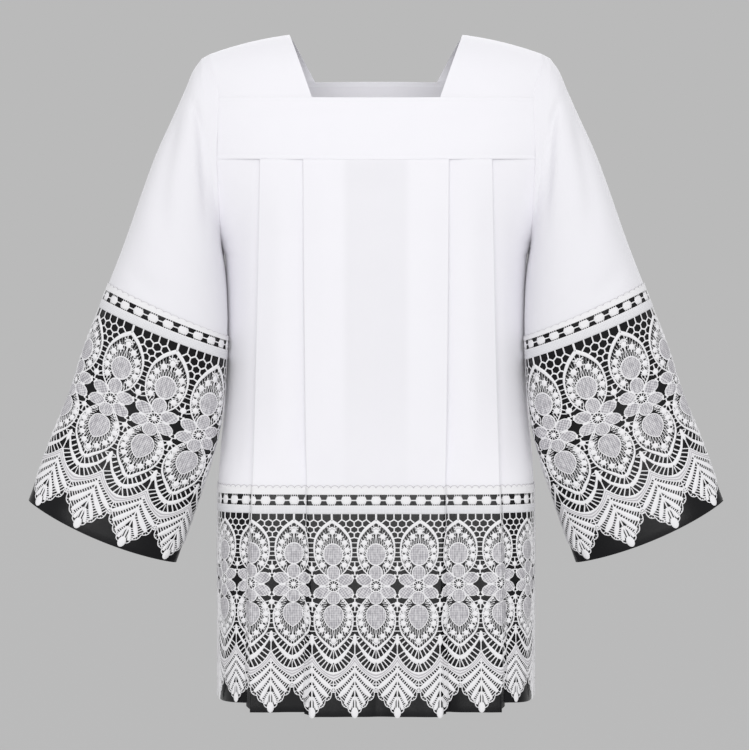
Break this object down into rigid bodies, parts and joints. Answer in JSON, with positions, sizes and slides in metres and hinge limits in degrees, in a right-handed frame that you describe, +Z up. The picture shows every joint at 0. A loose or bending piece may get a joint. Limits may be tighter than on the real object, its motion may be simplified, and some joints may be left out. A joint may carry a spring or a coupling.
{
  "type": "surplice",
  "caption": "Surplice in its worn form: square yoke, pleated body and bell sleeves in white cloth, with lace over a dark lining at hem and cuffs.",
  "frame": {"origin": "the middle of the neck opening, at the height of the shoulder straps where they rest on the wearer's shoulders", "axes": "+Z up, the front faces -Y, the wearer's left sleeve is at +X, and the garment is symmetric about X = 0"},
  "size_m": [0.907, 0.2675, 0.8841],
  "materials": {
    "white_cloth": "matt, with a faint weave and soft creases",
    "black_satin": "satin sheen",
    "white_lace": "matt embroidered thread"
  },
  "bodies": {
    "root": {"yoke_front": "white_cloth", "yoke_back": "white_cloth", "shoulder_strap_left": "white_cloth", "shoulder_strap_right": "white_cloth", "front_panel": "white_cloth", "back_panel": "white_cloth", "sleeve_left": "white_cloth", "sleeve_right": "white_cloth", "hem_lining_front": "black_satin", "hem_lining_back": "black_satin", "sleeve_lining_left": "black_satin", "sleeve_lining_right": "black_satin", "hem_lace_front": "white_lace", "hem_lace_back": "white_lace", "hem_trim_front": "white_lace", "hem_trim_back": "white_lace", "sleeve_lace_left": "white_lace", "sleeve_lace_right": "white_lace", "sleeve_trim_left": "white_lace", "sleeve_trim_right": "white_lace"}
  },
  "joints": []
}
